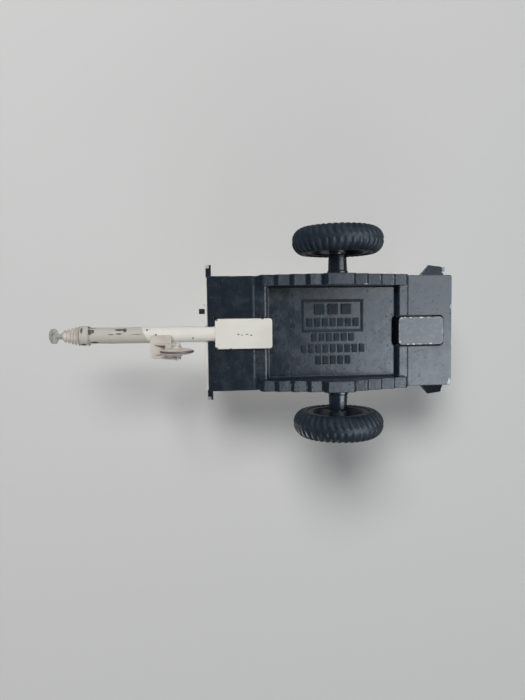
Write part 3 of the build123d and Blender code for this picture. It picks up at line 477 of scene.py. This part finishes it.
# ---------------------------------------------------------------- tyres
LUGS = 40                    # tread lugs round each side
LUG_HEIGHT = 0.17 * MM
LUG_PHASES = (0.0, 0.05, 0.10, 0.34, 0.58, 0.64, 0.70, 0.85)   # where a lug's rings lie, in pitches
LUG_RISE = (0.0, 0.10)       # phases between which a lug rises
LUG_FALL = (0.58, 0.70)      # phases between which it falls again
LUG_FOOT = 0.79 * WHEEL_RADIUS
LUG_FOOT_BLEND = 0.15 * MM
LUG_SLANT = (0.25, 0.28)     # lean of a lug beside the groove and towards the sidewall, in pitches
CROWN_LUG = 0.6              # height of a lug beside the groove, as a share of that at the shoulder
BORE_ACROSS = 0.45           # half width of the bore's edge, as a share of the tyre's
BEAD = (0.80, 0.690)         # bead (across, radius), as shares of half the width and wheel radius
FLANK = (0.99, 0.725)        # widest place of the sidewall, in the same terms
CROWN_SHARE = 0.984          # radius of the carcass under the lugs, as a share of the wheel's
SHOULDER_POWER = 1.12        # 1 makes the shoulder an ellipse, more makes it narrower
FLANK_STEPS = 8
SHOULDER_STEPS = 16


def smooth_step(value, low, high):
    share = min(1.0, max(0.0, (value - low) / (high - low)))
    return share * share * (3 - 2 * share)


def tyre_section():
    """Half section of the carcass from the bore's edge to the crown, as (across, radius) points."""
    half = TYRE_WIDTH / 2
    points = [(BORE_ACROSS * half, BEAD[1] * WHEEL_RADIUS)]
    for k in range(FLANK_STEPS + 1):         # bead to the widest place
        t = math.pi / 2 * k / FLANK_STEPS
        points.append((
            half * (BEAD[0] + (FLANK[0] - BEAD[0]) * math.sin(t)),
            WHEEL_RADIUS * (FLANK[1] - (FLANK[1] - BEAD[1]) * math.cos(t)),
        ))
    for k in range(1, SHOULDER_STEPS + 1):   # over the shoulder to the crown
        t = math.pi / 2 * k / SHOULDER_STEPS
        points.append((
            half * max(0.02, FLANK[0] * math.cos(t) ** SHOULDER_POWER),
            WHEEL_RADIUS * (FLANK[1] + (CROWN_SHARE - FLANK[1]) * math.sin(t)),
        ))
    return points


def build_tyre(name, node, body):
    """A rubber tyre whose lugs run over the shoulder to a groove round the middle."""
    centre = middle(node)
    half_section = tyre_section()
    section = half_section + [(-across, radius) for across, radius in reversed(half_section)]
    count = len(section)
    pitch = 2 * math.pi / LUGS
    bm = bmesh.new()
    rings = []
    for lug in range(LUGS):
        for phase in LUG_PHASES:
            on_lug = smooth_step(phase, *LUG_RISE) * (1 - smooth_step(phase, *LUG_FALL))
            ring = []
            for k, (across, radius) in enumerate(section):
                before, after = section[k - 1], section[(k + 1) % count]
                out = Vector((after[1] - before[1], before[0] - after[0])).normalized()
                share = across / TYRE_WIDTH
                side = max(-1.0, min(1.0, share / 0.2))
                slant = LUG_SLANT[0] * side + LUG_SLANT[1] * abs(share) * 2
                turn = (lug + phase + slant) * pitch
                reach = smooth_step(radius, LUG_FOOT, LUG_FOOT + LUG_FOOT_BLEND)
                reach *= smooth_step(abs(share), 0.04, 0.08)      # groove round the middle
                reach *= CROWN_LUG + (1 - CROWN_LUG) * smooth_step(abs(share), 0.10, 0.32)
                raised = LUG_HEIGHT * on_lug * reach
                a = across + out.x * raised
                r = min(radius + out.y * raised, WHEEL_RADIUS)
                ring.append(bm.verts.new((
                    centre.x + r * math.cos(turn),
                    centre.y + a,
                    centre.z + r * math.sin(turn),
                )))
            rings.append(ring)
    for ring, following in zip(rings, rings[1:] + rings[:1]):
        for k in range(count):
            bm.faces.new((ring[k], following[k], following[(k + 1) % count], ring[(k + 1) % count]))
    bmesh.ops.recalc_face_normals(bm, faces=bm.faces)
    mesh = bpy.data.meshes.new(name)
    bm.to_mesh(mesh)
    bm.free()
    mesh.shade_smooth()
    obj = bpy.data.objects.new(name, mesh)
    scene.collection.objects.link(obj)
    paint(obj, MATERIALS["rubber"])
    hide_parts(node)
    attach(obj, body)
    return obj


for side in ("left", "right"):
    build_tyre(f"tread_tyre_{side}", f"tyre_{side}", f"wheel_{side}")


# ---------------------------------------------------------------- camera
# under the model, looking up at its belly
CAMERA_PLACE = Vector((24.2025, 3.4811, -85.9394)) * MM + Vector((AXLE, 0, 0))
CAMERA_FORWARD = Vector((-0.10938, -0.06665, 0.99176))
CAMERA_UP = Vector((-0.02047, 0.99769, 0.06479))
CAMERA_LENS = 27.217
CAMERA_SENSOR = 36.0


def add_camera():
    data = bpy.data.cameras.new("camera")
    data.sensor_width = CAMERA_SENSOR
    data.lens = CAMERA_LENS
    data.clip_start = 0.001
    data.clip_end = 20.0
    camera = bpy.data.objects.new("camera", data)
    scene.collection.objects.link(camera)
    back = -CAMERA_FORWARD.normalized()
    right = CAMERA_UP.cross(back).normalized()
    up = back.cross(right)
    turned = Matrix((right, up, back)).transposed().to_4x4()
    camera.matrix_world = Matrix.Translation(CAMERA_PLACE) @ turned
    scene.camera = camera


add_camera()


# ---------------------------------------------------------------- stage and light
TABLE_COLOUR = (0.668, 0.667, 0.660)
FLOOR_COLOUR = (0.655, 0.655, 0.648)
STAGE_ROUGHNESS = 0.6
STAGE_SPECULAR = 0.15
TABLE_REACH = 0.6            # half sizes of the two planes
FLOOR_REACH = 3.0
STEEP_LIMIT = 0.42           # facing value past which the table is seen too slantingly to show
WINDOW_DROP = 0.35           # how far below the model the windows lie
WINDOW_COLOUR = (0.84, 0.93, 1.0)
LIGHT_TARGET = Vector((0, 0, 0.017))
SKY_COLOUR = (0.94, 0.96, 1.0)
SKY_STRENGTH = 0.20
BACKDROP_COLOUR = (0.60, 0.60, 0.59)
LIGHTS = (                   # (name, place, size, power, colour, seen in gloss)
    ("key_below", (0.12, 0.26, -0.42), (0.24, 0.20), 2.05, (1.0, 1.0, 0.99), False),
    ("fill_side", (-0.05, -0.40, -0.08), (0.30, 0.20), 0.4, (0.96, 0.98, 1.0), False),
    ("key_above", (0.25, -0.30, 0.42), (0.20, 0.20), 0.9, (1.0, 0.99, 0.97), True),
    ("fill_above", (-0.25, 0.20, 0.55), (0.5, 0.5), 0.35, (0.96, 0.98, 1.0), True),
    ("sky_above", (0.0, 0.0, 1.6), (3.4, 3.4), 21.0, (0.98, 0.99, 1.0), False),
)
WINDOWS = (                  # (name, near, far, side, brightness); they mustn't overlap
    ("window_faint", 0.24, 0.33, (-0.05, 0.5), 1.3),
    ("window_dim", 0.33, 0.42, (-0.05, 0.5), 2.9),
    ("window_high", 0.42, 2.4, (-0.05, 0.5), 4.2),
    ("window_side", 0.20, 1.30, (1.10, 2.40), 3.0),
    ("window_near", 0.26, 0.41, (-0.9, -0.05), 3.0),
    ("window_low", 0.41, 2.4, (-0.9, -0.05), 7.0),
)


def stage_plane(name, height, reach, facing_up, colour):
    """A plane that is seen only from the side it faces, and never blocks light. One that faces
    down also hides when seen slantingly, so that it shows from under the model alone."""
    corners = [(-reach, -reach), (reach, -reach), (reach, reach), (-reach, reach)]
    if not facing_up:
        corners.reverse()
    mesh = bpy.data.meshes.new(name)
    mesh.from_pydata([(x, y, height) for x, y in corners], [], [(0, 1, 2, 3)])
    obj = bpy.data.objects.new(name, mesh)
    scene.collection.objects.link(obj)
    material = bpy.data.materials.new(name)
    material.use_nodes = True
    tree = material.node_tree
    tree.nodes.clear()
    new, link = tree.nodes.new, tree.links.new
    solid = new("ShaderNodeBsdfPrincipled")
    solid.inputs["Base Color"].default_value = (*colour, 1)
    solid.inputs["Roughness"].default_value = STAGE_ROUGHNESS
    solid.inputs["Specular IOR Level"].default_value = STAGE_SPECULAR
    clear = new("ShaderNodeBsdfTransparent")
    geometry = new("ShaderNodeNewGeometry")
    choose = new("ShaderNodeMixShader")
    output = new("ShaderNodeOutputMaterial")
    hidden = geometry.outputs["Backfacing"]
    if not facing_up:
        facing = new("ShaderNodeLayerWeight")
        facing.inputs["Blend"].default_value = 0.5
        slanting = new("ShaderNodeMath")
        slanting.operation = "GREATER_THAN"
        slanting.inputs[1].default_value = STEEP_LIMIT
        either = new("ShaderNodeMath")
        either.operation = "MAXIMUM"
        link(facing.outputs["Facing"], slanting.inputs[0])
        link(slanting.outputs[0], either.inputs[0])
        link(hidden, either.inputs[1])
        hidden = either.outputs[0]
    link(hidden, choose.inputs[0])
    link(solid.outputs[0], choose.inputs[1])
    link(clear.outputs[0], choose.inputs[2])
    link(choose.outputs[0], output.inputs["Surface"])
    obj.data.materials.append(material)
    obj.visible_shadow = False
    obj.visible_diffuse = False
    obj.visible_glossy = False
    obj.visible_transmission = False


def add_light(name, place, size, power, colour, diffuse, glossy):
    """An area light that the camera doesn't see."""
    data = bpy.data.lights.new(name, "AREA")
    data.shape = "RECTANGLE"
    data.size, data.size_y = size
    data.energy = power
    data.color = colour
    obj = bpy.data.objects.new(name, data)
    scene.collection.objects.link(obj)
    obj.location = place
    obj.rotation_mode = "QUATERNION"
    obj.visible_camera = False
    obj.visible_diffuse = diffuse
    obj.visible_glossy = glossy
    return obj


def aimed_light(name, place, size, power, colour, glossy):
    """A light turned towards the model."""
    obj = add_light(name, place, size, power, colour, True, glossy)
    obj.rotation_quaternion = (LIGHT_TARGET - Vector(place)).to_track_quat("-Z", "Y")


def window_below(name, near, far, side, brightness):
    """A level window under the model that shows only in gloss. near, far and side are slopes: how
    far towards the rear it starts and ends, and how far right and left, for each metre down."""
    length, width = (far - near) * WINDOW_DROP, (side[1] - side[0]) * WINDOW_DROP
    place = (-(far + near) / 2 * WINDOW_DROP, (side[1] + side[0]) / 2 * WINDOW_DROP, -WINDOW_DROP)
    power = brightness * math.pi * length * width
    obj = add_light(name, place, (length, width), power, WINDOW_COLOUR, False, True)
    obj.rotation_quaternion = (0, 1, 0, 0)


def backdrop():
    """A dim even sky for the light, seen by the camera as pale as the floor."""
    world = bpy.data.worlds.new("studio")
    scene.world = world
    world.use_nodes = True
    tree = world.node_tree
    tree.nodes.clear()
    new, link = tree.nodes.new, tree.links.new
    light = new("ShaderNodeBackground")
    light.inputs["Color"].default_value = (*SKY_COLOUR, 1)
    light.inputs["Strength"].default_value = SKY_STRENGTH
    seen = new("ShaderNodeBackground")
    seen.inputs["Color"].default_value = (*BACKDROP_COLOUR, 1)
    choose = new("ShaderNodeMixShader")
    output = new("ShaderNodeOutputWorld")
    link(new("ShaderNodeLightPath").outputs["Is Camera Ray"], choose.inputs[0])
    link(light.outputs[0], choose.inputs[1])
    link(seen.outputs[0], choose.inputs[2])
    link(choose.outputs[0], output.inputs["Surface"])


scene.view_settings.view_transform = "Standard"
backdrop()
stage_plane("table", TABLE_Z, TABLE_REACH, False, TABLE_COLOUR)
stage_plane("floor", 0.0, FLOOR_REACH, True, FLOOR_COLOUR)
for light in LIGHTS:
    aimed_light(*light)
for window in WINDOWS:
    window_below(*window)
